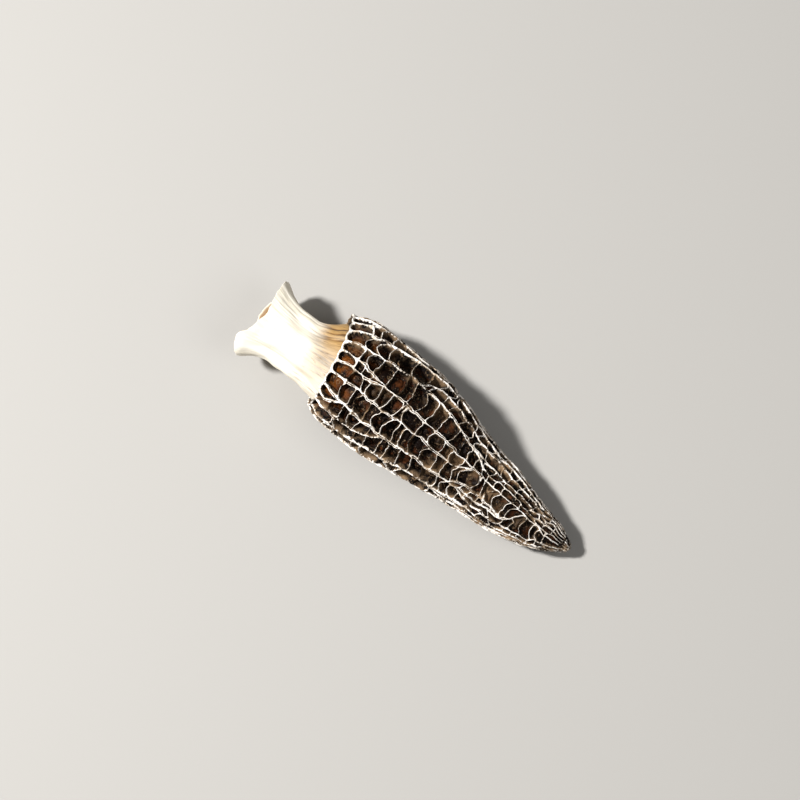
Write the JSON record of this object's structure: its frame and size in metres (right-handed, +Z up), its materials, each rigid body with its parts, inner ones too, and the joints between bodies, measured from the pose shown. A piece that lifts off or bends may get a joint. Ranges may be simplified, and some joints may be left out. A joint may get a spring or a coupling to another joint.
{
  "type": "dried morel mushroom",
  "caption": "Dried black morel lying on its side: a long tapered cap with a raised net of ribs and pits, on a short waisted hollow stem cut off at its foot.",
  "frame": {"origin": "middle of the bounding box in X and Y, on the surface that the morel lies on", "axes": "+X from the cut stem to the tip of the cap, +Z up"},
  "size_m": [0.0833, 0.0247, 0.0224],
  "materials": {
    "cap_flesh": "dried fungus, satin dark brown in the pits and pale matt beige on the thin edges of the net",
    "stem_flesh": "dried fungus, matt cream with fine fibres along it, tan inside"
  },
  "bodies": {
    "root": {"cap": "cap_flesh", "stem": "stem_flesh"}
  },
  "joints": []
}
